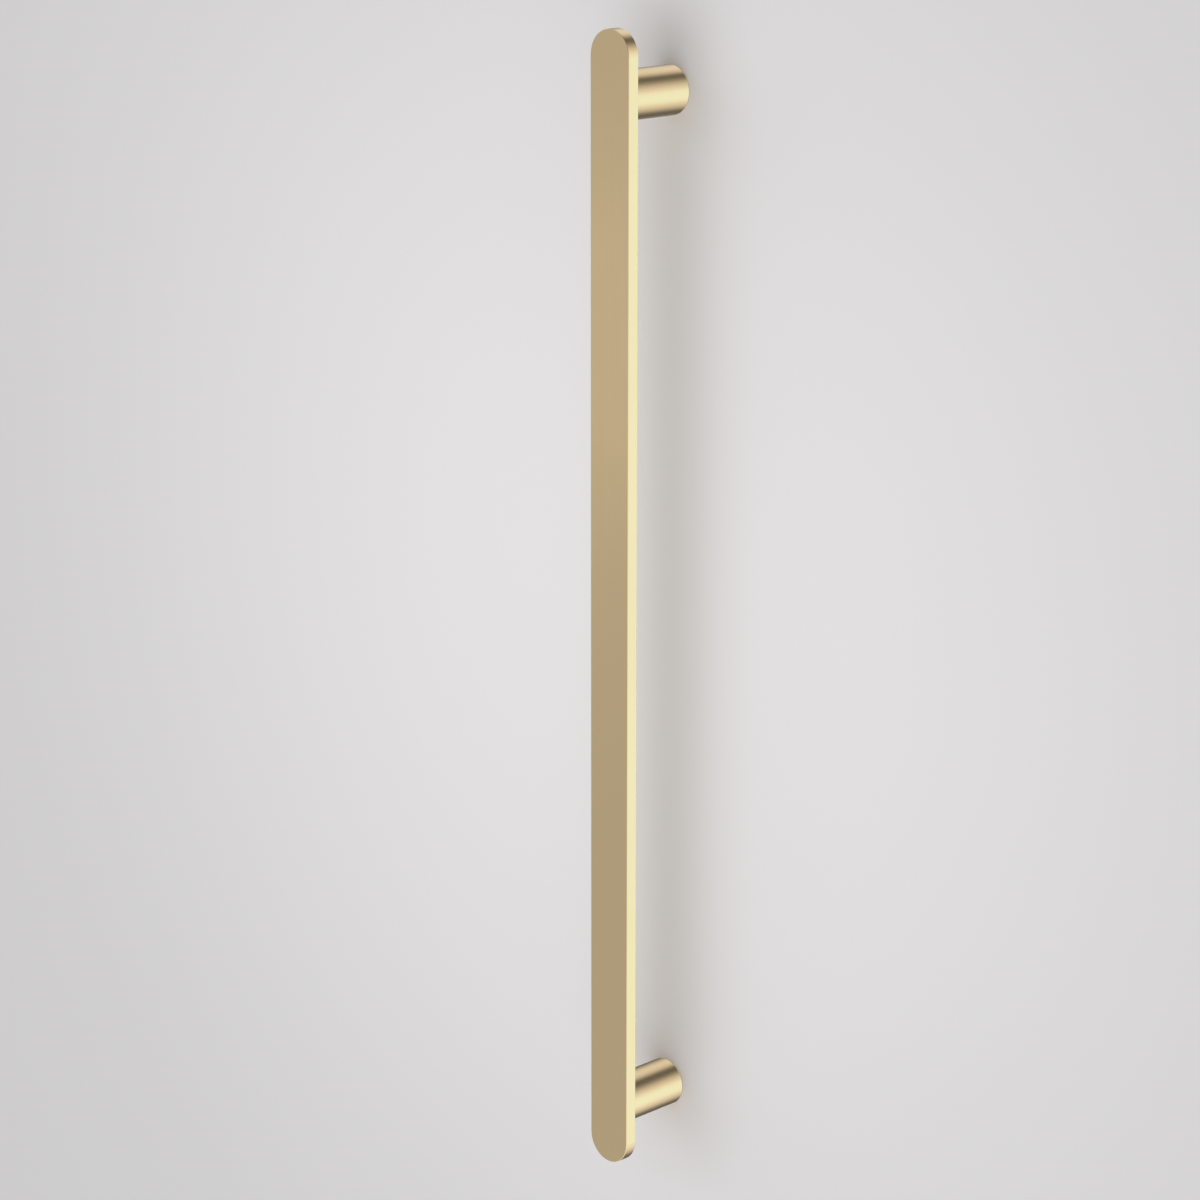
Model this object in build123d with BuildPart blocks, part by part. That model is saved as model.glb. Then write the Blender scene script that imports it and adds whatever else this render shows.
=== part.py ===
"""Vertical heated towel rail: one flat bar with full-radius ends, held off the wall by two round posts.

The bar is a pan closed by an inset back plate. A hairpin of heating cable lies in the pan, on its front wall.
Each post is clamped to the back plate by a hollow threaded nipple, and slides over a spigot on the wall.
The supply cable comes out of the wall through the lower spigot, to a terminal block in the lower post.

Millimetres. +Z is up, the room is towards -Y and the wall is the plane Y = 0.
The origin is on the wall, half way between the two posts.
"""

import os

from build123d import *

# Bar: pan and back plate
bar_height = 900.0
bar_width = 40.0
bar_thickness = 10.0
edge_round = 0.4
pan_wall = 1.5
plate_thickness = 2.0
plate_gap = 0.1

# Posts
post_inset = 50.0
post_diameter = 38.0
post_wall = 3.0
post_length = 55.0
post_web = 5.0
post_rim_round = 0.6

# Hollow nipple that joins a post to the bar, with its nut plate, washer and nut.
# The washer and the terminal carrier are stamped from the same strip
nipple_diameter = 10.0
nipple_bore = 7.0
nipple_past_nut = 1.5
nipple_chamfer = 0.5
nut_plate_width = 16.0
nut_plate_length = 36.0
nut_plate_thickness = 2.5
nut_plate_corner = 3.0
washer_diameter = 18.0
washer_thickness = 1.0
nut_across_flats = 14.0
nut_thickness = 5.0
nut_chamfer = 0.6

# Wall spigots and their grub screws
spigot_height = 12.0
spigot_gap = 0.1
spigot_chamfer = 0.6
groove_depth = 1.2
groove_from_wall = 4.5
wall_screw_pitch = 19.0
wall_screw_hole = 4.5
wall_screw_head_bore = 7.6
wall_screw_seat = 8.0
cable_hole = 9.0
grub_diameter = 4.0
grub_recess = 0.25
grub_socket = 2.0
grub_socket_depth = 1.6

# Grommet that lines the cable hole
grommet_bore = 6.5
grommet_flange = 10.6
grommet_flange_thickness = 1.2
grommet_setback = 0.5

# Countersunk screws that hold the back plate to bosses in the pan
inner_plate_screws = 7
plate_screw_diameter = 3.0
plate_screw_length = 6.0
plate_screw_head = 5.5
plate_screw_rim = 0.2
plate_screw_socket = 2.0
plate_screw_socket_depth = 1.0
boss_diameter = 6.5
boss_hole_depth = 5.4

# Heating cable and the clips that hold it
cable_diameter = 3.5
cable_core_diameter = 2.0
cable_core_length = 3.8
cable_inset = 9.0
clip_thickness = 0.5
clip_width = 8.0
clip_bend = 0.4

# Thermal cut-out and splice, at the lower ends of the hairpin
joint_above_post = 28.0
joint_length = 18.0
cutout_width = 6.6
cutout_corner = 1.0
splice_waist = 0.35

# Leads inside the rail
lead_diameter = 2.0
lead_bundle_radius = 1.55
lead_turn = 3.5
lead_sway = 5.0
lead_run_out = 3.0
lead_grip = 4.0

# Earth point in the pan
earth_above_post = 36.0
earth_boss_diameter = 8.0
earth_boss_height = 2.0
earth_screw_diameter = 3.0
earth_screw_head = 5.6
earth_screw_head_height = 2.0
earth_screw_engagement = 1.6
earth_screw_slot = 0.8
lug_diameter = 7.4
lug_thickness = 0.8
lug_barrel_diameter = 3.2
lug_barrel_length = 6.0

# Terminal block on its carrier, in the lower post
carrier_width = 18.0
carrier_nut_gap = 0.2
carrier_rise = 9.0
carrier_bend = 0.8
block_width = 22.0
block_length = 12.0
block_height = 9.0
supply_room = 4.0
block_edge = 0.6
pole_pitch = 7.4
pole_height = 5.0
well_diameter = 4.6
well_wall = 0.6
well_rise = 3.0
well_pitch = 6.0
insert_diameter = 4.1
insert_bore = 2.6
insert_setback = 1.0
clamp_screw_diameter = 2.4
clamp_screw_head = 3.8
clamp_screw_head_height = 2.0
clamp_screw_slot = 0.7
fixing_screw_diameter = 2.0
fixing_screw_head = 3.2
fixing_screw_head_height = 1.4
fixing_screw_slot = 0.6

# Clearances
thread_gap = 0.05
slip_gap = 0.1
seat_gap = 0.05

# Levels along Y, from the wall to the bar's front
bar_back = -post_length
bar_front = bar_back - bar_thickness
pan_floor = bar_front + pan_wall
plate_inside = bar_back - plate_thickness
nut_plate_inside = plate_inside - nut_plate_thickness
web_inside = bar_back + post_web
nut_seat = web_inside + washer_thickness
nut_top = nut_seat + nut_thickness
nipple_top = nut_top + nipple_past_nut
cable_level = pan_floor + seat_gap + cable_diameter / 2

# Heights along Z
post_pitch = bar_height - 2 * post_inset
post_heights = {"upper": post_pitch / 2, "lower": -post_pitch / 2}
lower_post = post_heights["lower"]
end_centre = (bar_height - bar_width) / 2
plate_screw_spacing = post_pitch / (inner_plate_screws + 1)
inner_screw_heights = [lower_post + plate_screw_spacing * (i + 1) for i in range(inner_plate_screws)]
end_screw_height = (post_pitch / 2 + nut_plate_length / 2 + bar_height / 2 - pan_wall) / 2
plate_screw_heights = [-end_screw_height, *inner_screw_heights, end_screw_height]
joint_bottom = lower_post + joint_above_post
joint_top = joint_bottom + joint_length
earth_height = lower_post + earth_above_post

# Radii and offsets from a post's axis or the bar's middle
post_radius = post_diameter / 2
bore_radius = post_radius - post_wall
spigot_radius = bore_radius - spigot_gap
nipple_radius = nipple_diameter / 2
leg_offset = bar_width / 2 - cable_inset

os.makedirs("parts", exist_ok=True)


def wall_plane(y):
    """Plane parallel to the wall at Y = y that faces the room, with its x along +X and its y along +Z."""
    return Plane.XZ.offset(-y)


def post_axis(z):
    """Axis of the post whose centre is at height z."""
    return Axis((0, 0, z), (0, 1, 0))


def save(part, name):
    """Labels a finished piece and writes it as its own file."""
    part.label = name
    export_step(part, f"parts/{name}.step")


# Bar pan: front wall and rim in one piece, with bosses for the back plate's screws and for the earth screw
with BuildPart() as pan:
    with BuildSketch(wall_plane(bar_back)):
        SlotOverall(bar_height, bar_width, rotation=90)
    extrude(amount=bar_thickness)
    outline_edges = pan.faces().sort_by(Axis.Y)[0].edges() + pan.faces().sort_by(Axis.Y)[-1].edges()
    fillet(outline_edges, radius=edge_round)
    with BuildSketch(wall_plane(bar_back)):
        SlotOverall(bar_height - 2 * pan_wall, bar_width - 2 * pan_wall, rotation=90)
    extrude(amount=bar_thickness - pan_wall, mode=Mode.SUBTRACT)
    with BuildSketch(wall_plane(pan_floor)):
        with Locations(*[(0, z) for z in plate_screw_heights]):
            Circle(boss_diameter / 2)
    extrude(amount=pan_floor - plate_inside)
    with BuildSketch(wall_plane(plate_inside)):
        with Locations(*[(0, z) for z in plate_screw_heights]):
            Circle(plate_screw_diameter / 2 + thread_gap)
    extrude(amount=boss_hole_depth, mode=Mode.SUBTRACT)
    with BuildSketch(wall_plane(pan_floor)):
        with Locations((0, earth_height)):
            Circle(earth_boss_diameter / 2)
    extrude(amount=-earth_boss_height)
    with BuildSketch(wall_plane(pan_floor + earth_boss_height)):
        with Locations((0, earth_height)):
            Circle(earth_screw_diameter / 2 + thread_gap)
    extrude(amount=earth_boss_height, mode=Mode.SUBTRACT)
save(pan.part, "bar_pan")

# Back plate: closes the pan flush with its rim, drilled for the nipples and countersunk for its screws
with BuildPart() as back_plate:
    inset = 2 * (pan_wall + plate_gap)
    with BuildSketch(wall_plane(bar_back)):
        SlotOverall(bar_height - inset, bar_width - inset, rotation=90)
        with Locations(*[(0, z) for z in post_heights.values()]):
            Circle(nipple_radius + slip_gap, mode=Mode.SUBTRACT)
    extrude(amount=plate_thickness)
    with Locations(*[Plane((0, bar_back, z), z_dir=(0, 1, 0)) for z in plate_screw_heights]):
        CounterSinkHole(
            plate_screw_diameter / 2 + slip_gap,
            plate_screw_head / 2 + slip_gap,
            counter_sink_angle=90,
        )
save(back_plate.part, "back_plate")

# One countersunk plate screw, its head flush with the back plate and pointing into the pan
with BuildPart() as plate_screw:
    head_radius = plate_screw_head / 2
    shank_radius = plate_screw_diameter / 2
    with BuildSketch(Plane.XY):
        with BuildLine():
            Polyline(
                (0, -plate_screw_rim),
                (head_radius - plate_screw_rim, -plate_screw_rim),
                (shank_radius, shank_radius - head_radius),
                (shank_radius, -plate_screw_length),
                (0, -plate_screw_length),
                close=True,
            )
        make_face()
    revolve(axis=Axis.Y)
    with BuildSketch(wall_plane(-plate_screw_rim)):
        RegularPolygon(plate_screw_socket / 2, 6, major_radius=False)
    extrude(amount=plate_screw_socket_depth, mode=Mode.SUBTRACT)

with BuildPart() as plate_screws:
    with Locations(*[(0, bar_back, z) for z in plate_screw_heights]):
        add(plate_screw.part)
save(plate_screws.part, "back_plate_screws")

# Pieces that are alike at both posts
for end, height in post_heights.items():
    # Nut plate: welded inside the back plate, tapped for the nipple
    with BuildPart() as nut_plate:
        with BuildSketch(wall_plane(plate_inside)):
            with Locations((0, height)):
                RectangleRounded(nut_plate_width, nut_plate_length, nut_plate_corner)
                Circle(nipple_radius + thread_gap, mode=Mode.SUBTRACT)
        extrude(amount=nut_plate_thickness)
    save(nut_plate.part, f"{end}_nut_plate")

    # Nipple: hollow threaded tube in the nut plate, that clamps the post and lets the leads through
    with BuildPart() as nipple:
        with BuildSketch(wall_plane(nut_plate_inside)):
            with Locations((0, height)):
                Circle(nipple_radius)
                Circle(nipple_bore / 2, mode=Mode.SUBTRACT)
        extrude(amount=nut_plate_inside - nipple_top)
        rims = nipple.edges().filter_by(GeomType.CIRCLE).filter_by(lambda e: e.radius > nipple_bore / 2)
        chamfer(rims.group_by(Axis.Y)[-1], length=nipple_chamfer)
    save(nipple.part, f"{end}_nipple")

    # Post: turned tube with a closed front end, tapped on its underside for the grub screw
    with BuildPart() as post:
        with BuildSketch(Plane.XY.offset(height)):
            with BuildLine():
                Polyline(
                    (nipple_radius + slip_gap, bar_back),
                    (post_radius, bar_back),
                    (post_radius, 0),
                    (bore_radius, 0),
                    (bore_radius, web_inside),
                    (nipple_radius + slip_gap, web_inside),
                    close=True,
                )
            face = make_face()
            fillet(face.vertices().group_by(Axis.Y)[-1].sort_by(Axis.X)[-1], radius=post_rim_round)
        revolve(axis=post_axis(height))
        with BuildSketch(Plane((0, -groove_from_wall, height), x_dir=(1, 0, 0), z_dir=(0, 0, -1))):
            Circle(grub_diameter / 2 + thread_gap)
        extrude(amount=post_diameter, mode=Mode.SUBTRACT)
    save(post.part, f"{end}_post")

    # Nut that clamps the post's closed end to the bar, with its corners turned off
    with BuildPart() as clamp_nut:
        with BuildSketch(wall_plane(nut_top)):
            with Locations((0, height)):
                RegularPolygon(nut_across_flats / 2, 6, major_radius=False)
                Circle(nipple_radius + thread_gap, mode=Mode.SUBTRACT)
        extrude(amount=nut_thickness)
        with BuildSketch(Plane.XY.offset(height)):
            nut_turned_radius = nut_across_flats / 2 + 2 * nut_chamfer
            with BuildLine():
                Polyline(
                    (0, nut_seat),
                    (nut_turned_radius, nut_seat),
                    (nut_turned_radius, nut_top - nut_chamfer),
                    (nut_turned_radius - 2 * nut_chamfer, nut_top),
                    (0, nut_top),
                    close=True,
                )
            make_face()
        revolve(axis=post_axis(height), mode=Mode.INTERSECT)
    save(clamp_nut.part, f"{end}_clamp_nut")

    # Wall spigot: turned puck screwed to the wall, with a V groove that the grub screw's point pulls into
    with BuildPart() as spigot:
        with BuildSketch(Plane.XY.offset(height)):
            with BuildLine():
                Polyline(
                    (cable_hole / 2, 0),
                    (spigot_radius, 0),
                    (spigot_radius, -groove_from_wall + groove_depth),
                    (spigot_radius - groove_depth, -groove_from_wall),
                    (spigot_radius, -groove_from_wall - groove_depth),
                    (spigot_radius, -spigot_height + spigot_chamfer),
                    (spigot_radius - spigot_chamfer, -spigot_height),
                    (cable_hole / 2, -spigot_height),
                    close=True,
                )
            make_face()
        revolve(axis=post_axis(height))
        screw_spots = [(side * wall_screw_pitch / 2, -spigot_height, height) for side in (-1, 1)]
        with Locations(*[Plane(spot, x_dir=(1, 0, 0), z_dir=(0, -1, 0)) for spot in screw_spots]):
            CounterBoreHole(
                wall_screw_hole / 2,
                wall_screw_head_bore / 2,
                spigot_height - wall_screw_seat,
            )
    save(spigot.part, f"{end}_wall_spigot")

    # Grub screw: socket set screw with a cone point, seated in the spigot's groove
    with BuildPart() as grub_screw:
        grub_radius = grub_diameter / 2
        grub_tip = spigot_radius - groove_depth + seat_gap
        grub_head = post_radius - grub_recess
        with BuildSketch(Plane.XZ.offset(groove_from_wall)):
            with BuildLine():
                Polyline(
                    (0, height - grub_tip),
                    (grub_radius, height - grub_tip - grub_radius),
                    (grub_radius, height - grub_head),
                    (0, height - grub_head),
                    close=True,
                )
            make_face()
        revolve(axis=Axis((0, -groove_from_wall, height), (0, 0, 1)))
        with BuildSketch(Plane((0, -groove_from_wall, height - grub_head), z_dir=(0, 0, 1))):
            RegularPolygon(grub_socket / 2, 6, major_radius=False)
        extrude(amount=grub_socket_depth, mode=Mode.SUBTRACT)
    save(grub_screw.part, f"{end}_grub_screw")

# Washer under the upper nut. At the lower post the terminal carrier's foot takes its place
with BuildPart() as washer:
    with BuildSketch(wall_plane(nut_seat)):
        with Locations((0, post_heights["upper"])):
            Circle(washer_diameter / 2)
            Circle(nipple_radius + slip_gap, mode=Mode.SUBTRACT)
    extrude(amount=washer_thickness)
save(washer.part, "upper_washer")

# Grommet: rubber bush that lines the lower spigot's cable hole
with BuildPart() as grommet:
    sleeve_radius = cable_hole / 2 - seat_gap
    with BuildSketch(Plane.XY.offset(lower_post)):
        with BuildLine():
            Polyline(
                (grommet_bore / 2, -grommet_setback),
                (sleeve_radius, -grommet_setback),
                (sleeve_radius, -spigot_height),
                (grommet_flange / 2, -spigot_height),
                (grommet_flange / 2, -spigot_height - grommet_flange_thickness),
                (grommet_bore / 2, -spigot_height - grommet_flange_thickness),
                close=True,
            )
        make_face()
    revolve(axis=post_axis(lower_post))
save(grommet.part, "cable_grommet")

# Heating cable: a hairpin in the pan, its turn concentric with the bar's upper end, with bared cores below
with BuildPart() as heating_cable:
    with BuildLine(wall_plane(cable_level)) as hairpin:
        Line((-leg_offset, joint_top), (-leg_offset, end_centre))
        ThreePointArc((-leg_offset, end_centre), (0, end_centre + leg_offset), (leg_offset, end_centre))
        Line((leg_offset, end_centre), (leg_offset, joint_top))
    with BuildSketch(Plane((-leg_offset, cable_level, joint_top), x_dir=(1, 0, 0), z_dir=(0, 0, 1))):
        Circle(cable_diameter / 2)
    sweep(path=hairpin.wires()[0])
    with BuildSketch(Plane((0, cable_level, joint_top), x_dir=(1, 0, 0), z_dir=(0, 0, -1))):
        with Locations((-leg_offset, 0), (leg_offset, 0)):
            Circle(cable_core_diameter / 2)
    extrude(amount=cable_core_length)
save(heating_cable.part, "heating_cable")

# Element clips: folded spring strips welded to the pan's floor, arched over both legs of the hairpin
with BuildPart() as clip:
    arch_inside = cable_diameter / 2 + seat_gap
    arch_outside = arch_inside + clip_thickness
    arch_centre = cable_level - pan_floor
    with BuildSketch(Plane.XY.offset(-clip_width / 2)):
        with Locations((-leg_offset, arch_centre), (leg_offset, arch_centre)):
            Circle(arch_outside)
            Rectangle(2 * arch_outside, arch_centre, align=(Align.CENTER, Align.MAX))
        Rectangle(2 * leg_offset, clip_thickness, align=(Align.CENTER, Align.MIN))
        with Locations((-leg_offset, arch_centre), (leg_offset, arch_centre)):
            Circle(arch_inside, mode=Mode.SUBTRACT)
            Rectangle(2 * arch_inside, arch_centre, align=(Align.CENTER, Align.MAX), mode=Mode.SUBTRACT)
        Rectangle(bar_width, arch_outside, align=(Align.CENTER, Align.MAX), mode=Mode.SUBTRACT)
    extrude(amount=clip_width)
    bend_edges = clip.edges().filter_by(Axis.Z).filter_by_position(
        Axis.Y, clip_thickness / 2, 1.5 * clip_thickness
    )
    fillet(bend_edges, radius=clip_bend)

with BuildPart() as element_clips:
    with Locations(*[(0, pan_floor, z + plate_screw_spacing / 2) for z in inner_screw_heights]):
        add(clip.part)
save(element_clips.part, "element_clips")

# Thermal cut-out: small sealed can in series with the left leg, bored for the lead and the cable's core
with BuildPart() as cutout:
    with BuildSketch(Plane((-leg_offset, cable_level, joint_bottom), x_dir=(1, 0, 0), z_dir=(0, 0, 1))):
        RectangleRounded(cutout_width, cable_diameter, cutout_corner)
    extrude(amount=joint_length)
    for mouth, inwards, bore in (
        (joint_bottom, 1, lead_diameter),
        (joint_top, -1, cable_core_diameter),
    ):
        with BuildSketch(Plane((-leg_offset, cable_level, mouth), x_dir=(1, 0, 0), z_dir=(0, 0, inwards))):
            Circle(bore / 2 + seat_gap)
        extrude(amount=lead_grip, mode=Mode.SUBTRACT)
save(cutout.part, "thermal_cutout")

# Splice: crimped sleeve that joins the right leg's core to the neutral lead
with BuildPart() as splice:
    sleeve = cable_diameter / 2
    with BuildSketch(Plane.XZ.offset(-cable_level)):
        with BuildLine():
            Line((leg_offset, joint_bottom), (leg_offset + sleeve, joint_bottom))
            Line((leg_offset + sleeve, joint_bottom), (leg_offset + sleeve, joint_bottom + lead_grip / 2))
            ThreePointArc(
                (leg_offset + sleeve, joint_bottom + lead_grip / 2),
                (leg_offset + sleeve - splice_waist, joint_bottom + joint_length / 2),
                (leg_offset + sleeve, joint_top - lead_grip / 2),
            )
            Line((leg_offset + sleeve, joint_top - lead_grip / 2), (leg_offset + sleeve, joint_top))
            Line((leg_offset + sleeve, joint_top), (leg_offset, joint_top))
            Line((leg_offset, joint_top), (leg_offset, joint_bottom))
        make_face()
    revolve(axis=Axis((leg_offset, cable_level, 0), (0, 0, 1)))
    for mouth, inwards, bore in (
        (joint_bottom, 1, lead_diameter),
        (joint_top, -1, cable_core_diameter),
    ):
        with BuildSketch(Plane((leg_offset, cable_level, mouth), x_dir=(1, 0, 0), z_dir=(0, 0, inwards))):
            Circle(bore / 2 + seat_gap)
        extrude(amount=lead_grip, mode=Mode.SUBTRACT)
save(splice.part, "neutral_splice")

# Terminal carrier: folded strip clamped under the lower nut, with a shelf for the terminal block
shelf_top = lower_post - nut_across_flats / 2 - carrier_nut_gap - carrier_bend
shelf_bottom = shelf_top - washer_thickness
pole_level = shelf_top + pole_height
block_front = -spigot_height - grommet_flange_thickness - supply_room
block_back = block_front - block_length
block_middle = (block_back + block_front) / 2
fixing_offset = pole_pitch / 2
with BuildPart() as carrier:
    with BuildSketch(Plane.YZ.offset(-carrier_width / 2)):
        with BuildLine():
            Polyline(
                (web_inside, lower_post + carrier_rise),
                (web_inside, shelf_bottom),
                (block_front, shelf_bottom),
                (block_front, shelf_top),
                (nut_seat, shelf_top),
                (nut_seat, lower_post + carrier_rise),
                close=True,
            )
        strip = make_face()
        outer_corner = strip.vertices().group_by(Axis.Y)[0].sort_by(Axis.X)[0]
        inner_corner = strip.vertices().group_by(Axis.Y)[1].sort_by(Axis.X)[0]
        fillet(outer_corner, radius=carrier_bend + washer_thickness)
        fillet(inner_corner, radius=carrier_bend)
    extrude(amount=carrier_width)
    with BuildSketch(wall_plane(nut_seat)):
        with Locations((0, lower_post)):
            Circle(nipple_radius + slip_gap)
    extrude(amount=washer_thickness, mode=Mode.SUBTRACT)
    with BuildSketch(Plane.XY.offset(shelf_top)):
        with Locations((-fixing_offset, block_middle), (fixing_offset, block_middle)):
            Circle(fixing_screw_diameter / 2 + thread_gap)
    extrude(amount=-washer_thickness, mode=Mode.SUBTRACT)
save(carrier.part, "terminal_carrier")

# Terminal block: three moulded poles, each with a bore for its insert and two wells for the clamp screws
pole_offsets = [-pole_pitch, 0, pole_pitch]
well_spots = [(x, block_middle + side * well_pitch / 2) for x in pole_offsets for side in (-1, 1)]
with BuildPart() as terminal_block:
    with BuildSketch(Plane.XY.offset(shelf_top)):
        with Locations((0, block_middle)):
            RectangleRounded(block_width, block_length, block_edge)
    extrude(amount=block_height)
    with BuildSketch(Plane.XY.offset(shelf_top + block_height)):
        with Locations(*well_spots):
            Circle(well_diameter / 2 + well_wall)
    extrude(amount=well_rise)
    with BuildSketch(wall_plane(block_front)):
        with Locations(*[(x, pole_level) for x in pole_offsets]):
            Circle(insert_diameter / 2 + seat_gap)
    extrude(amount=block_length, mode=Mode.SUBTRACT)
    with BuildSketch(Plane.XY.offset(pole_level)):
        with Locations(*well_spots):
            Circle(well_diameter / 2)
    extrude(amount=block_height + well_rise, mode=Mode.SUBTRACT)
    with BuildSketch(Plane.XY.offset(shelf_top)):
        with Locations((-fixing_offset, block_middle), (fixing_offset, block_middle)):
            Circle(fixing_screw_diameter / 2 + slip_gap)
    extrude(amount=block_height, mode=Mode.SUBTRACT)
save(terminal_block.part, "terminal_block")

# Terminal inserts: brass tubes in the poles, cross-drilled for the clamp screws
with BuildPart() as inserts:
    with BuildSketch(wall_plane(block_front - insert_setback)):
        with Locations(*[(x, pole_level) for x in pole_offsets]):
            Circle(insert_diameter / 2)
            Circle(insert_bore / 2, mode=Mode.SUBTRACT)
    extrude(amount=block_length - 2 * insert_setback)
    with BuildSketch(Plane.XY.offset(pole_level)):
        with Locations(*well_spots):
            Circle(clamp_screw_diameter / 2 + thread_gap)
    extrude(amount=insert_diameter, mode=Mode.SUBTRACT)
save(inserts.part, "terminal_inserts")


def slotted_screw(shank_diameter, shank_length, head_diameter, head_height, slot):
    """Cheese-head screw standing on Z = 0 under its head, its shank downwards."""
    with BuildPart() as screw:
        with BuildSketch(Plane.XY):
            Circle(shank_diameter / 2)
        extrude(amount=-shank_length)
        with BuildSketch(Plane.XY):
            Circle(head_diameter / 2)
        extrude(amount=head_height)
        with BuildSketch(Plane.XY.offset(head_height)):
            Rectangle(head_diameter, slot)
        extrude(amount=-head_height / 2, mode=Mode.SUBTRACT)
    return screw.part


# Clamp screws: one in each well, its end just clear of the lead under it
clamp_seat = pole_level + insert_diameter / 2 + seat_gap
clamp_reach = clamp_seat - (pole_level + lead_diameter / 2 + seat_gap)
clamp_screw = slotted_screw(
    clamp_screw_diameter, clamp_reach, clamp_screw_head, clamp_screw_head_height, clamp_screw_slot
)
with BuildPart() as clamp_screws:
    with Locations(*[(x, y, clamp_seat) for x, y in well_spots]):
        add(clamp_screw)
save(clamp_screws.part, "terminal_clamp_screws")

# Fixing screws: hold the terminal block down on the carrier's tapped shelf
fixing_screw = slotted_screw(
    fixing_screw_diameter,
    block_height + washer_thickness,
    fixing_screw_head,
    fixing_screw_head_height,
    fixing_screw_slot,
)
with BuildPart() as fixing_screws:
    with Locations(*[(side * fixing_offset, block_middle, shelf_top + block_height) for side in (-1, 1)]):
        add(fixing_screw)
save(fixing_screws.part, "terminal_fixing_screws")

# Earth lug: ring terminal under the earth screw, its barrel in line with the earth lead
lug_bottom = pan_floor + earth_boss_height
lug_top = lug_bottom + lug_thickness
barrel_top = earth_height - max(earth_boss_diameter, lug_diameter) / 2 - slip_gap
barrel_bottom = barrel_top - lug_barrel_length
with BuildPart() as earth_lug:
    with BuildSketch(wall_plane(lug_top)):
        with Locations((0, earth_height)):
            Circle(lug_diameter / 2)
        with Locations((0, earth_height)):
            Rectangle(lug_barrel_diameter, earth_height - barrel_bottom, align=(Align.CENTER, Align.MAX))
        with Locations((0, earth_height)):
            Circle(earth_screw_diameter / 2 + slip_gap, mode=Mode.SUBTRACT)
    extrude(amount=lug_thickness)
    with BuildSketch(Plane((0, cable_level, barrel_bottom), x_dir=(1, 0, 0), z_dir=(0, 0, 1))):
        Circle(lug_barrel_diameter / 2)
    extrude(amount=lug_barrel_length)
    with BuildSketch(Plane((0, cable_level, barrel_bottom), x_dir=(1, 0, 0), z_dir=(0, 0, 1))):
        Circle(lead_diameter / 2 + seat_gap)
    extrude(amount=lug_barrel_length - lug_thickness, mode=Mode.SUBTRACT)
save(earth_lug.part, "earth_lug")

# Earth screw: holds the lug to the boss in the pan
with BuildPart() as earth_screw:
    with BuildSketch(wall_plane(lug_top)):
        with Locations((0, earth_height)):
            Circle(earth_screw_diameter / 2)
    extrude(amount=lug_thickness + earth_screw_engagement)
    with BuildSketch(wall_plane(lug_top)):
        with Locations((0, earth_height)):
            Circle(earth_screw_head / 2)
    extrude(amount=-earth_screw_head_height)
    with BuildSketch(wall_plane(lug_top + earth_screw_head_height)):
        with Locations((0, earth_height)):
            Rectangle(earth_screw_head, earth_screw_slot)
    extrude(amount=earth_screw_head_height / 2, mode=Mode.SUBTRACT)
save(earth_screw.part, "earth_screw")

# Leads: from the terminal block, in a bundle of three down the nipple, then along the pan's floor
lead_start = block_back + insert_setback + lead_grip
lead_leaves_block = block_back - lead_run_out
lead_enters_nipple = nipple_top + lead_diameter / 2
bundle_side = lead_bundle_radius * 3**0.5 / 2
bundle_low = lower_post - lead_bundle_radius / 2
bundle_high = lower_post + lead_bundle_radius
side_bends = [lead_sway, lead_sway, lead_turn, lead_turn]
lead_routes = {
    "active_lead": (
        [
            (-pole_pitch, lead_start, pole_level),
            (-pole_pitch, lead_leaves_block, pole_level),
            (-bundle_side, lead_enters_nipple, bundle_low),
            (-bundle_side, cable_level, bundle_low),
            (-leg_offset, cable_level, bundle_low),
            (-leg_offset, cable_level, joint_bottom + lead_grip - slip_gap),
        ],
        side_bends,
    ),
    "neutral_lead": (
        [
            (pole_pitch, lead_start, pole_level),
            (pole_pitch, lead_leaves_block, pole_level),
            (bundle_side, lead_enters_nipple, bundle_low),
            (bundle_side, cable_level, bundle_low),
            (leg_offset, cable_level, bundle_low),
            (leg_offset, cable_level, joint_bottom + lead_grip - slip_gap),
        ],
        side_bends,
    ),
    "earth_lead": (
        [
            (0, lead_start, pole_level),
            (0, lead_leaves_block, pole_level),
            (0, lead_enters_nipple, bundle_high),
            (0, cable_level, bundle_high),
            (0, cable_level, barrel_bottom + lug_barrel_length - lug_thickness - slip_gap),
        ],
        side_bends[:-1],
    ),
}
for name, (corners, bends) in lead_routes.items():
    with BuildPart() as lead:
        with BuildLine() as route:
            FilletPolyline(*corners, radius=bends)
        with BuildSketch(Plane(corners[0], x_dir=(1, 0, 0), z_dir=(0, -1, 0))):
            Circle(lead_diameter / 2)
        sweep(path=route.wires()[0])
    save(lead.part, name)
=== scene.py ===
import math

import bpy
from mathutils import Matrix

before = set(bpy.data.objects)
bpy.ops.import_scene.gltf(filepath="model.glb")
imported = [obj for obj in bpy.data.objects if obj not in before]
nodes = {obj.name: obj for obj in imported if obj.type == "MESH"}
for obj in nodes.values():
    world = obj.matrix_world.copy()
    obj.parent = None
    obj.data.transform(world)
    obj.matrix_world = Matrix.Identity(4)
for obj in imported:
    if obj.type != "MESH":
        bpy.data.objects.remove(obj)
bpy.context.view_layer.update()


# Bar pan and back plate: the flat bar with its full-radius ends, and the plate that closes it
# from behind. Both are solid brass, brushed along their length with a fine belt and left satin,
# with edges that are a little burnished.
def add_node(tree, kind, values=None, **properties):
    """Adds a node, sets its properties, then sets its unlinked sockets by name or number."""
    node = tree.nodes.new(kind)
    for name, value in properties.items():
        setattr(node, name, value)
    for socket, value in (values or {}).items():
        node.inputs[socket].default_value = value
    return node


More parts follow.
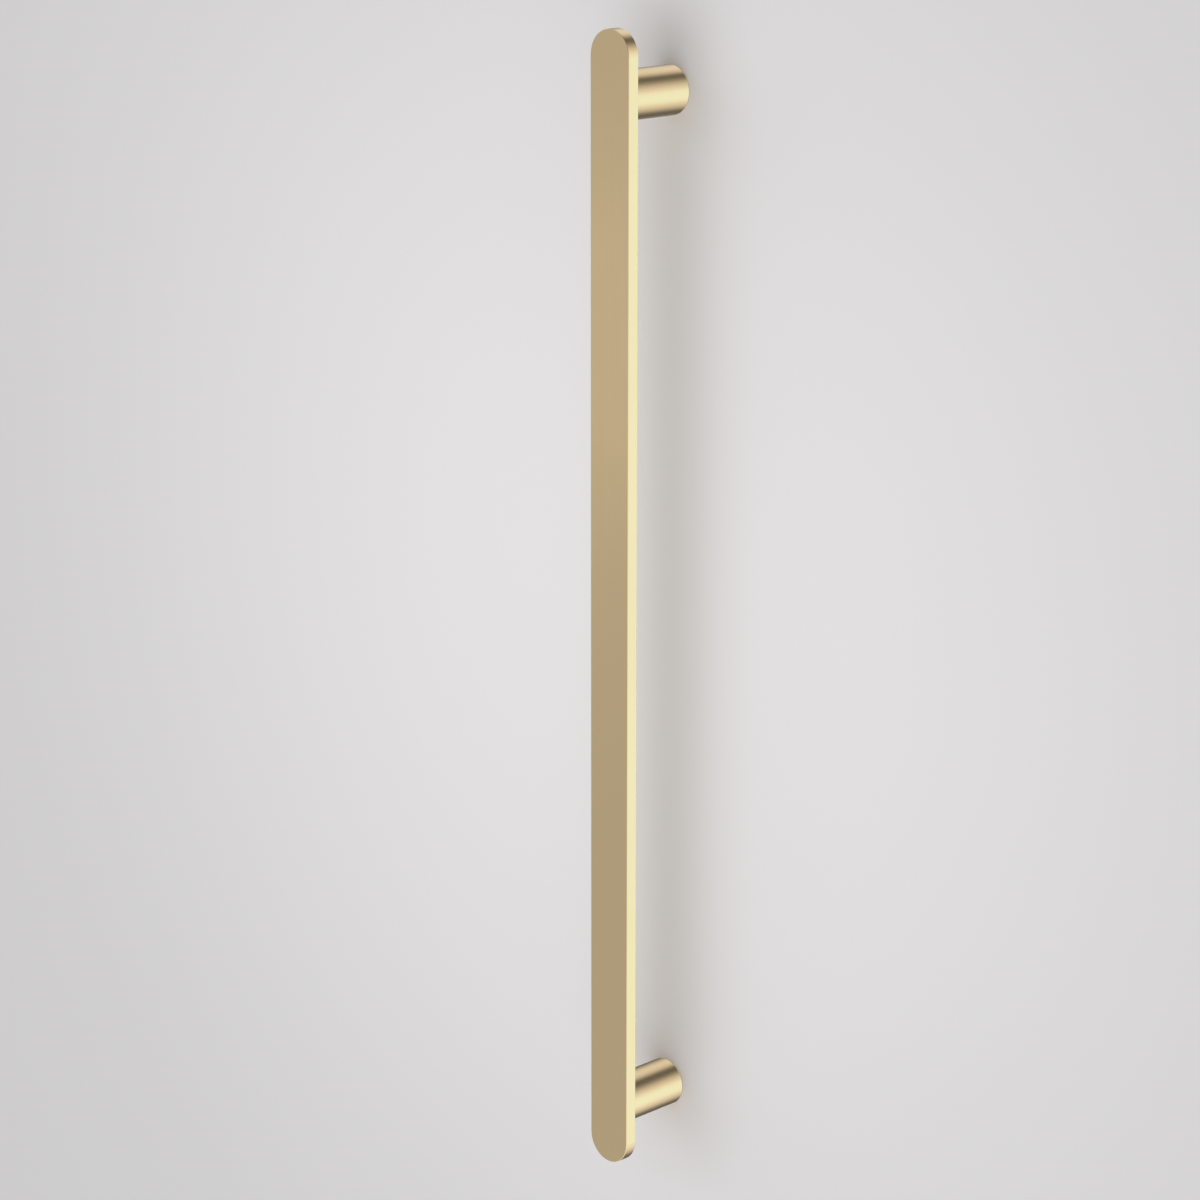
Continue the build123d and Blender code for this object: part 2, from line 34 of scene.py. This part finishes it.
def new_group(name, inputs, outputs):
    """Starts a shader node group, with each input's type and default and each output's type."""
    tree = bpy.data.node_groups.new(name, "ShaderNodeTree")
    for socket, (kind, default) in inputs.items():
        made = tree.interface.new_socket(socket, in_out="INPUT", socket_type=kind)
        made.default_value = default
    for socket, kind in outputs.items():
        tree.interface.new_socket(socket, in_out="OUTPUT", socket_type=kind)
    return tree, tree.nodes.new("NodeGroupInput"), tree.nodes.new("NodeGroupOutput")


def widen_noise(tree, noise):
    """Stretches the middle of a noise, where nearly all of it lies, to the range 0 to 1."""
    span = add_node(tree, "ShaderNodeMapRange", {"From Min": 0.3, "From Max": 0.7})
    tree.links.new(noise, span.inputs["Value"])
    return span.outputs["Result"]


def make_brushing_group():
    """Fine parallel scratches. A large Grain Scale on an axis packs them closely along it."""
    tree, group_in, group_out = new_group(
        "brushing",
        {
            "Vector": ("NodeSocketVector", (0, 0, 0)),
            "Grain Scale": ("NodeSocketVector", (1, 1, 1)),
        },
        {"Height": "NodeSocketFloat", "Streak": "NodeSocketFloat"},
    )
    broad_share = 0.35
    stretch = add_node(tree, "ShaderNodeVectorMath", operation="MULTIPLY")
    fine = add_node(tree, "ShaderNodeTexNoise", {"Scale": 1.0, "Detail": 3.0, "Roughness": 0.6})
    broad = add_node(tree, "ShaderNodeTexNoise", {"Scale": 0.22, "Detail": 2.0, "Roughness": 0.5})
    both = add_node(tree, "ShaderNodeMix", {"Factor": broad_share}, data_type="FLOAT")
    tree.links.new(group_in.outputs["Vector"], stretch.inputs[0])
    tree.links.new(group_in.outputs["Grain Scale"], stretch.inputs[1])
    for noise in (fine, broad):
        tree.links.new(stretch.outputs["Vector"], noise.inputs["Vector"])
    tree.links.new(fine.outputs["Fac"], both.inputs["A"])
    tree.links.new(broad.outputs["Fac"], both.inputs["B"])
    tree.links.new(fine.outputs["Fac"], group_out.inputs["Height"])
    tree.links.new(widen_noise(tree, both.outputs["Result"]), group_out.inputs["Streak"])
    return tree


def make_drift_group():
    """Slow cloudy change over a surface, as handling and uneven finishing leave it."""
    tree, group_in, group_out = new_group(
        "finish_drift",
        {
            "Vector": ("NodeSocketVector", (0, 0, 0)),
            "Scale": ("NodeSocketFloat", 10.0),
        },
        {"Drift": "NodeSocketFloat"},
    )
    cloud = add_node(tree, "ShaderNodeTexNoise", {"Detail": 4.0, "Roughness": 0.55})
    tree.links.new(group_in.outputs["Vector"], cloud.inputs["Vector"])
    tree.links.new(group_in.outputs["Scale"], cloud.inputs["Scale"])
    tree.links.new(widen_noise(tree, cloud.outputs["Fac"]), group_out.inputs["Drift"])
    return tree


def make_edge_group():
    """Edges that polishing has rubbed: 1 along an outer edge or corner, 0 on the open faces."""
    tree, group_in, group_out = new_group(
        "rubbed_edge",
        {"Width": ("NodeSocketFloat", 0.0008)},
        {"Edge": "NodeSocketFloat"},
    )
    wear_starts = 0.995
    wear_is_full = 0.80
    rounded = add_node(tree, "ShaderNodeBevel", samples=6)
    surface = add_node(tree, "ShaderNodeNewGeometry")
    facing = add_node(tree, "ShaderNodeVectorMath", operation="DOT_PRODUCT")
    wear = add_node(tree, "ShaderNodeMapRange", {"From Min": wear_starts, "From Max": wear_is_full})
    tree.links.new(group_in.outputs["Width"], rounded.inputs["Radius"])
    tree.links.new(rounded.outputs["Normal"], facing.inputs[0])
    tree.links.new(surface.outputs["Normal"], facing.inputs[1])
    tree.links.new(facing.outputs["Value"], wear.inputs["Value"])
    tree.links.new(wear.outputs["Result"], group_out.inputs["Edge"])
    return tree


brushing = make_brushing_group()
finish_drift = make_drift_group()
rubbed_edge = make_edge_group()


def new_material(name):
    """Starts a material and returns it with its tree, its shader and its surface coordinates."""
    material = bpy.data.materials.new(name)
    material.use_nodes = True
    tree = material.node_tree
    shader = tree.nodes["Principled BSDF"]
    place = add_node(tree, "ShaderNodeTexCoord").outputs["Object"]
    return material, tree, shader, place


def two_tones(tree, mask, first, second):
    """Colour that goes from the first tone to the second as the mask goes from 0 to 1."""
    ends = {"A": (*first, 1.0), "B": (*second, 1.0)}
    mix = add_node(tree, "ShaderNodeMix", ends, data_type="RGBA")
    tree.links.new(mask, mix.inputs["Factor"])
    return mix.outputs["Result"]


def ranged(tree, mask, low, high):
    """Value that goes from low to high as the mask goes from 0 to 1."""
    span = add_node(tree, "ShaderNodeMapRange", {"To Min": low, "To Max": high})
    tree.links.new(mask, span.inputs["Value"])
    return span.outputs["Result"]


def raise_surface(tree, shader, height, strength, distance):
    """Feeds a height to the shader's normal through a bump, on top of any that is there already."""
    bump = add_node(tree, "ShaderNodeBump", {"Strength": strength, "Distance": distance})
    for link in shader.inputs["Normal"].links:
        tree.links.new(link.from_socket, bump.inputs["Normal"])
    tree.links.new(height, bump.inputs["Height"])
    tree.links.new(bump.outputs["Normal"], shader.inputs["Normal"])


def brushed_metal(
    name, tones, grain_scale, roughness, bump_strength=0.05, drift_scale=9.0, turned=None
):
    """Metal with a grain: streaks and slow drift change its tone and gloss a little.

    Rubbed edges have the first tone and roughness. The grain runs straight, or round an axis
    where the group of a turned piece's places is given.
    """
    scratch_depth = 0.00002
    drift_share = 0.4
    material, tree, shader, place = new_material(name)
    grain = add_node(tree, "ShaderNodeGroup", {"Grain Scale": grain_scale}, node_tree=brushing)
    drift = add_node(tree, "ShaderNodeGroup", {"Scale": drift_scale}, node_tree=finish_drift)
    edge = add_node(tree, "ShaderNodeGroup", node_tree=rubbed_edge)
    tree.links.new(place, drift.inputs["Vector"])
    if turned is None:
        tree.links.new(place, grain.inputs["Vector"])
    else:
        rings = add_node(tree, "ShaderNodeGroup", node_tree=turned)
        tree.links.new(place, rings.inputs["Vector"])
        tree.links.new(rings.outputs["Places"], grain.inputs["Vector"])
    blend = add_node(tree, "ShaderNodeMix", {"Factor": drift_share}, data_type="FLOAT")
    tree.links.new(grain.outputs["Streak"], blend.inputs["A"])
    tree.links.new(drift.outputs["Drift"], blend.inputs["B"])
    worn = add_node(tree, "ShaderNodeMath", operation="SUBTRACT", use_clamp=True)
    tree.links.new(blend.outputs["Result"], worn.inputs[0])
    tree.links.new(edge.outputs["Edge"], worn.inputs[1])
    tree.links.new(two_tones(tree, worn.outputs["Value"], *tones), shader.inputs["Base Color"])
    tree.links.new(ranged(tree, worn.outputs["Value"], *roughness), shader.inputs["Roughness"])
    raise_surface(tree, shader, grain.outputs["Height"], bump_strength, scratch_depth)
    shader.inputs["Metallic"].default_value = 1.0
    return material


def dress(material, *names):
    """Gives a finish to CAD pieces by name."""
    for name in names:
        nodes[name].material_slots[0].material = material


brass_tones = ((0.80, 0.62, 0.365), (0.775, 0.597, 0.348))
satin = (0.19, 0.24)
across_grain = 2600.0
along_grain = 26.0
along_the_bar = (across_grain, across_grain, along_grain)
bar_finish = brushed_metal("brushed_brass_bar", brass_tones, along_the_bar, satin)
dress(bar_finish, "bar_pan", "back_plate")


# Posts: turned brass tubes, each closed at the bar end, brushed round their axis while still in
# the lathe. They have the same satin as the bar, with a softened rim where they meet the wall.
def make_turned_group():
    """Places on a piece turned about a post's axis: radius, distance from the wall, and height."""
    tree, group_in, group_out = new_group(
        "turned_places",
        {
            "Vector": ("NodeSocketVector", (0, 0, 0)),
            "Axis Height": ("NodeSocketFloat", 0.4),
        },
        {"Places": "NodeSocketVector"},
    )
    apart = add_node(tree, "ShaderNodeSeparateXYZ")
    level = add_node(tree, "ShaderNodeMath", operation="ABSOLUTE")
    above = add_node(tree, "ShaderNodeMath", operation="SUBTRACT")
    across = add_node(tree, "ShaderNodeCombineXYZ")
    radius = add_node(tree, "ShaderNodeVectorMath", operation="LENGTH")
    places = add_node(tree, "ShaderNodeCombineXYZ")
    tree.links.new(group_in.outputs["Vector"], apart.inputs["Vector"])
    tree.links.new(apart.outputs["Z"], level.inputs[0])
    tree.links.new(level.outputs["Value"], above.inputs[0])
    tree.links.new(group_in.outputs["Axis Height"], above.inputs[1])
    tree.links.new(apart.outputs["X"], across.inputs["X"])
    tree.links.new(above.outputs["Value"], across.inputs["Z"])
    tree.links.new(across.outputs["Vector"], radius.inputs[0])
    tree.links.new(radius.outputs["Value"], places.inputs["X"])
    tree.links.new(apart.outputs["Y"], places.inputs["Y"])
    tree.links.new(apart.outputs["Z"], places.inputs["Z"])
    tree.links.new(places.outputs["Vector"], group_out.inputs["Places"])
    return tree


turned_places = make_turned_group()
round_the_axis = (across_grain, across_grain, along_grain)
post_finish = brushed_metal(
    "brushed_brass_post",
    brass_tones,
    round_the_axis,
    satin,
    turned=turned_places,
)
dress(post_finish, "upper_post", "lower_post")


# Back plate screws: small countersunk socket screws in brass, tumbled smooth.
# They sit just below the back plate's face.
screw_finish = brushed_metal(
    "tumbled_brass_screw",
    tones=((0.76, 0.59, 0.34), (0.70, 0.53, 0.30)),
    grain_scale=(900.0, 900.0, 900.0),
    roughness=(0.28, 0.38),
)
dress(screw_finish, "back_plate_screws")


# Joint hardware: nut plates, washer, nuts and hollow nipples that clamp each post to the bar.
# Pressed and turned mild steel, bright zinc plated, so it shows a faint crystalline bloom.
# The nipples are threaded outside, all the way along, and have a smooth bore for the leads.
def zinc_plated(name):
    """Bright zinc plating on steel."""
    return brushed_metal(
        name,
        tones=((0.63, 0.64, 0.66), (0.54, 0.55, 0.58)),
        grain_scale=(420.0, 420.0, 420.0),
        roughness=(0.24, 0.42),
        drift_scale=220.0,
    )


def cut_thread(material, along, pitch, depth, from_radius):
    """Adds the ridges of a screw thread to a finish, as rings spaced by the pitch along an axis.

    They start at a radius about the post's axis, so that a bore or a cone point stays smooth.
    """
    tree = material.node_tree
    shader = tree.nodes["Principled BSDF"]
    place = add_node(tree, "ShaderNodeTexCoord").outputs["Object"]
    rings_per_unit = 10.0 / math.pi
    ridges = add_node(
        tree,
        "ShaderNodeTexWave",
        {"Scale": 1.0 / (rings_per_unit * pitch)},
        bands_direction=along,
        wave_profile="TRI",
    )
    turned = add_node(tree, "ShaderNodeGroup", node_tree=turned_places)
    apart = add_node(tree, "ShaderNodeSeparateXYZ")
    outside = add_node(tree, "ShaderNodeMath", {1: from_radius}, operation="GREATER_THAN")
    cut = add_node(tree, "ShaderNodeMath", operation="MULTIPLY")
    tree.links.new(place, ridges.inputs["Vector"])
    tree.links.new(place, turned.inputs["Vector"])
    tree.links.new(turned.outputs["Places"], apart.inputs["Vector"])
    tree.links.new(apart.outputs["X"], outside.inputs[0])
    tree.links.new(ridges.outputs["Fac"], cut.inputs[0])
    tree.links.new(outside.outputs["Value"], cut.inputs[1])
    raise_surface(tree, shader, cut.outputs["Value"], strength=1.0, distance=depth)


zinc_finish = zinc_plated("zinc_plated_steel")
dress(
    zinc_finish,
    "upper_nut_plate",
    "lower_nut_plate",
    "upper_washer",
    "upper_clamp_nut",
    "lower_clamp_nut",
)
nipple_finish = zinc_plated("zinc_plated_thread")
cut_thread(nipple_finish, "Y", pitch=0.001, depth=0.0005, from_radius=0.0045)
dress(nipple_finish, "upper_nipple", "lower_nipple")


# Wall spigots: brass pucks turned from bar, left as they come off the lathe, with fine tool rings.
# They are screwed to the wall and the posts slide over them.
turned_tones = ((0.78, 0.60, 0.32), (0.70, 0.52, 0.26))
turned_finish = brushed_metal(
    "turned_brass",
    turned_tones,
    grain_scale=(1900.0, 1900.0, 12.0),
    roughness=(0.20, 0.34),
    bump_strength=0.3,
    turned=turned_places,
)
dress(turned_finish, "upper_wall_spigot", "lower_wall_spigot")


# Grub screws: socket set screws in hardened steel with a black oxide skin.
# Each holds its post on the spigot, from below.
oxide_finish = brushed_metal(
    "black_oxide_steel",
    tones=((0.030, 0.030, 0.033), (0.055, 0.053, 0.052)),
    grain_scale=(700.0, 700.0, 700.0),
    roughness=(0.36, 0.50),
)
cut_thread(oxide_finish, "Z", pitch=0.0007, depth=0.0004, from_radius=0.0168)
dress(oxide_finish, "upper_grub_screw", "lower_grub_screw")


# Grommet: moulded black rubber bush pushed into the lower spigot's cable hole.
# Matte, with the fine grain of its mould.
def moulded(name, tones, grain_size, roughness):
    """Moulded or extruded plastic or rubber, with a fine grain and slow changes of tone."""
    drift_scale = 60.0
    grain_strength = 0.2
    grain_depth = 0.00003
    material, tree, shader, place = new_material(name)
    drift = add_node(tree, "ShaderNodeGroup", {"Scale": drift_scale}, node_tree=finish_drift)
    grain = add_node(tree, "ShaderNodeTexNoise", {"Scale": 1.0 / grain_size, "Detail": 2.0})
    tree.links.new(place, drift.inputs["Vector"])
    tree.links.new(place, grain.inputs["Vector"])
    tree.links.new(two_tones(tree, drift.outputs["Drift"], *tones), shader.inputs["Base Color"])
    tree.links.new(ranged(tree, drift.outputs["Drift"], *roughness), shader.inputs["Roughness"])
    raise_surface(tree, shader, grain.outputs["Fac"], grain_strength, grain_depth)
    return material


rubber_finish = moulded(
    "grommet_rubber",
    tones=((0.022, 0.022, 0.023), (0.040, 0.039, 0.038)),
    grain_size=0.0003,
    roughness=(0.62, 0.80),
)
dress(rubber_finish, "cable_grommet")


# Heating cable: a resistance wire in an extruded brick-red silicone sheath, laid in the pan as a
# hairpin. The sheath is a soft satin, a little dusty.
sheath_finish = moulded(
    "silicone_sheath",
    tones=((0.36, 0.075, 0.050), (0.43, 0.11, 0.075)),
    grain_size=0.0006,
    roughness=(0.45, 0.62),
)
dress(sheath_finish, "heating_cable")


# Element clips: folded spring-steel strips spot-welded to the pan, which hold the hairpin to its
# floor. Bright rolled strip with a lengthwise grain.
clip_finish = brushed_metal(
    "rolled_spring_steel",
    tones=((0.55, 0.56, 0.58), (0.47, 0.48, 0.50)),
    grain_scale=(30.0, 2400.0, 2400.0),
    roughness=(0.24, 0.36),
    bump_strength=0.1,
)
dress(clip_finish, "element_clips")


# Thermal cut-out, splice and earth lug: a drawn aluminium can, and crimped copper with a tin skin.
# Soft dull metals, marked a little by the crimping tool. A plated screw holds the lug.
can_finish = brushed_metal(
    "drawn_aluminium",
    tones=((0.70, 0.70, 0.71), (0.60, 0.60, 0.62)),
    grain_scale=(1500.0, 1500.0, 40.0),
    roughness=(0.30, 0.42),
)
dress(can_finish, "thermal_cutout")
tin_finish = brushed_metal(
    "tinned_copper",
    tones=((0.72, 0.72, 0.70), (0.58, 0.57, 0.55)),
    grain_scale=(500.0, 500.0, 500.0),
    roughness=(0.34, 0.50),
    bump_strength=0.15,
)
dress(tin_finish, "neutral_splice", "earth_lug")
dress(zinc_finish, "earth_screw")


# Leads: stranded copper in silicone insulation, brown for the active, blue for the neutral.
# The earth lead is green with a yellow stripe that winds along it.
insulation_grain = 0.0004
insulation_gloss = (0.42, 0.55)
brown_tones = ((0.16, 0.062, 0.025), (0.20, 0.085, 0.038))
blue_tones = ((0.020, 0.085, 0.36), (0.035, 0.12, 0.44))
brown_finish = moulded("brown_insulation", brown_tones, insulation_grain, insulation_gloss)
blue_finish = moulded("blue_insulation", blue_tones, insulation_grain, insulation_gloss)
dress(brown_finish, "active_lead")
dress(blue_finish, "neutral_lead")


def striped_insulation(name, ground, stripe):
    """Insulation of one colour with a stripe of another, which is a little less glossy."""
    material, tree, shader, place = new_material(name)
    bands = add_node(
        tree,
        "ShaderNodeTexWave",
        {"Scale": 60.0, "Distortion": 0.4},
        bands_direction="DIAGONAL",
    )
    sharp = add_node(tree, "ShaderNodeMapRange", {"From Min": 0.52, "From Max": 0.58})
    tree.links.new(place, bands.inputs["Vector"])
    tree.links.new(bands.outputs["Fac"], sharp.inputs["Value"])
    mask = sharp.outputs["Result"]
    tree.links.new(two_tones(tree, mask, ground, stripe), shader.inputs["Base Color"])
    tree.links.new(ranged(tree, mask, low=0.44, high=0.52), shader.inputs["Roughness"])
    return material


green = (0.05, 0.26, 0.055)
yellow = (0.62, 0.50, 0.04)
earth_finish = striped_insulation("earth_insulation", green, yellow)
dress(earth_finish, "earth_lead")


# Terminal block: three poles moulded in ivory nylon, slightly waxy, with a fine moulded grain.
# The tubes inside it that take the wires are drawn brass. Plated screws hold it to the folded
# steel carrier in the lower post.
nylon_finish = moulded(
    "ivory_nylon",
    tones=((0.76, 0.73, 0.63), (0.70, 0.67, 0.57)),
    grain_size=0.0005,
    roughness=(0.38, 0.50),
)
nylon_shader = nylon_finish.node_tree.nodes["Principled BSDF"]
nylon_shader.inputs["Subsurface Weight"].default_value = 0.1
nylon_shader.inputs["Subsurface Scale"].default_value = 0.002
dress(nylon_finish, "terminal_block")
insert_finish = brushed_metal("drawn_brass", turned_tones, along_the_bar, roughness=(0.24, 0.34))
dress(insert_finish, "terminal_inserts")
dress(zinc_finish, "terminal_carrier", "terminal_clamp_screws", "terminal_fixing_screws")


# Wall and floor: a pale painted wall that the rail hangs on, and a pale floor a metre below its
# middle. Each is seen only from its own side, so that the rail can be looked at from behind and
# from below.
def plain_stage(name, corners, tones, lift=0.0):
    """Flat painted sheet, clear when seen from behind. A lift makes it paler to the camera."""
    mesh = bpy.data.meshes.new(name)
    mesh.from_pydata(corners, [], [tuple(range(len(corners)))])
    sheet = bpy.data.objects.new(name, mesh)
    bpy.context.scene.collection.objects.link(sheet)
    material, tree, shader, place = new_material(name + "_paint")
    drift = add_node(tree, "ShaderNodeGroup", {"Scale": 1.4}, node_tree=finish_drift)
    tree.links.new(place, drift.inputs["Vector"])
    tree.links.new(two_tones(tree, drift.outputs["Drift"], *tones), shader.inputs["Base Color"])
    shader.inputs["Roughness"].default_value = 0.9
    shader.inputs["Specular IOR Level"].default_value = 0.1
    shader.inputs["Emission Color"].default_value = (1.0, 1.0, 1.0, 1.0)
    shown = add_node(tree, "ShaderNodeMath", {1: lift}, operation="MULTIPLY")
    rays = add_node(tree, "ShaderNodeLightPath")
    tree.links.new(rays.outputs["Is Camera Ray"], shown.inputs[0])
    tree.links.new(shown.outputs["Value"], shader.inputs["Emission Strength"])
    clear = add_node(tree, "ShaderNodeBsdfTransparent")
    side = add_node(tree, "ShaderNodeNewGeometry")
    pick = add_node(tree, "ShaderNodeMixShader")
    tree.links.new(side.outputs["Backfacing"], pick.inputs["Fac"])
    tree.links.new(shader.outputs["BSDF"], pick.inputs[1])
    tree.links.new(clear.outputs["BSDF"], pick.inputs[2])
    tree.links.new(pick.outputs["Shader"], tree.nodes["Material Output"].inputs["Surface"])
    mesh.materials.append(material)
    sheet.visible_glossy = False
    return sheet


stage_reach = 40.0
wall_back = 0.0004
floor_level = -1.0
wall_tones = ((0.81, 0.797, 0.804), (0.80, 0.787, 0.794))
plain_stage(
    "wall",
    [
        (-stage_reach, wall_back, floor_level),
        (stage_reach, wall_back, floor_level),
        (stage_reach, wall_back, stage_reach),
        (-stage_reach, wall_back, stage_reach),
    ],
    wall_tones,
)
floor = plain_stage(
    "floor",
    [
        (-stage_reach, -stage_reach, floor_level),
        (stage_reach, -stage_reach, floor_level),
        (stage_reach, stage_reach, floor_level),
        (-stage_reach, stage_reach, floor_level),
    ],
    wall_tones,
    lift=0.38,
)
floor.visible_diffuse = False


# Light: a pale room on the camera's side, and soft panels with dark gaps between them that the
# metal mirrors. One large round lamp in front brightens the middle of the wall.
def make_panel_group():
    """Soft round patch of a studio: 1 towards Aim, fading to 0 from cosine Inner to Outer."""
    tree, group_in, group_out = new_group(
        "soft_panel",
        {
            "Direction": ("NodeSocketVector", (0, 0, 1)),
            "Aim": ("NodeSocketVector", (0, 0, 1)),
            "Inner": ("NodeSocketFloat", 0.9),
            "Outer": ("NodeSocketFloat", 0.6),
        },
        {"Mask": "NodeSocketFloat"},
    )
    unit = add_node(tree, "ShaderNodeVectorMath", operation="NORMALIZE")
    facing = add_node(tree, "ShaderNodeVectorMath", operation="DOT_PRODUCT")
    fade = add_node(tree, "ShaderNodeMapRange", interpolation_type="SMOOTHSTEP")
    tree.links.new(group_in.outputs["Aim"], unit.inputs[0])
    tree.links.new(unit.outputs["Vector"], facing.inputs[0])
    tree.links.new(group_in.outputs["Direction"], facing.inputs[1])
    tree.links.new(facing.outputs["Value"], fade.inputs["Value"])
    tree.links.new(group_in.outputs["Outer"], fade.inputs["From Min"])
    tree.links.new(group_in.outputs["Inner"], fade.inputs["From Max"])
    tree.links.new(fade.outputs["Result"], group_out.inputs["Mask"])
    return tree


def grey(level):
    """Neutral light of one level."""
    return (level, level, level)


soft_panel = make_panel_group()
world = bpy.data.worlds.new("studio")
bpy.context.scene.world = world
world.use_nodes = True
sky = world.node_tree
direction = add_node(sky, "ShaderNodeTexCoord").outputs["Generated"]
gap_level = (*grey(0.15), 1.0)
panels = {
    "room": ((0.0, -1.0, 0.0), 0.0, -0.45, grey(0.34)),
    "room_low": ((0.13, -0.49, -0.86), 0.77, 0.28, grey(1.22)),
    "room_left": ((-0.817, -0.575, 0.043), 0.86, 0.74, grey(1.12)),
    "dim_corner": ((-0.687, -0.677, -0.263), 0.951, 0.848, grey(0.525)),
    "corner_glow": ((-0.698, -0.692, -0.186), 1.0, 0.9970, (0.90, 0.89, 0.88)),
    "wall_side": ((0.0, 1.0, 0.0), 0.93, 0.80, grey(0.75)),
    "left_gap": ((-0.94, -0.08, -0.31), 0.985, 0.94, grey(0.40)),
    "low_gap": ((-0.25, 0.66, -0.70), 0.93, 0.78, grey(0.15)),
    "left_fill": ((-0.618, 0.70, 0.357), 1.0, 0.93, grey(0.45)),
    "left_panel": ((-0.636, 0.70, -0.324), 0.99, 0.94, grey(0.27)),
    "upper_panel": ((-0.336, 0.70, 0.630), 1.02, 0.855, (0.99, 0.98, 0.98)),
    "right_panel": ((0.671, 0.70, -0.244), 1.025, 0.51, grey(1.12)),
    "right_core": ((0.671, 0.70, -0.244), 1.0, 0.892, (1.12, 1.35, 1.40)),
}
tone = None
for name, (aim, inner, outer, colour) in panels.items():
    spread = {"Aim": aim, "Inner": inner, "Outer": outer}
    patch = add_node(sky, "ShaderNodeGroup", spread, node_tree=soft_panel, name=name)
    sky.links.new(direction, patch.inputs["Direction"])
    ends = {"A": gap_level, "B": (*colour, 1.0)}
    mix = add_node(sky, "ShaderNodeMix", ends, data_type="RGBA")
    sky.links.new(patch.outputs["Mask"], mix.inputs["Factor"])
    if tone is not None:
        sky.links.new(tone, mix.inputs["A"])
    tone = mix.outputs["Result"]
sky.links.new(tone, sky.nodes["Background"].inputs["Color"])
world.cycles.sampling_method = "NONE"

lamp = bpy.data.lights.new("front_lamp", "AREA")
lamp.shape = "DISK"
lamp.size = 1.0
lamp.energy = 1.4
lamp_holder = bpy.data.objects.new("front_lamp", lamp)
lamp_holder.location = (-0.05, -0.6, 0.0)
lamp_holder.rotation_euler = (math.pi / 2, 0.0, 0.0)
lamp_holder.visible_glossy = False
lamp_holder.visible_camera = False
bpy.context.scene.collection.objects.link(lamp_holder)


# Camera: a long lens to the right of the rail and above its middle, looking down and to the left.
# Its angles and distance put the rail where the photograph has it, in a square frame.
camera_place = (1.8038, -1.8515, 0.7085)
camera_turn = math.radians(45.434)
camera_tilt = math.radians(-15.255)
camera = bpy.data.cameras.new("camera")
camera.sensor_width = 36.0
camera.lens = 103.066
eye = bpy.data.objects.new("camera", camera)
eye.location = camera_place
eye.rotation_euler = (math.pi / 2 + camera_tilt, 0.0, camera_turn)
bpy.context.scene.collection.objects.link(eye)
bpy.context.scene.camera = eye
bpy.context.scene.view_settings.view_transform = "Standard"
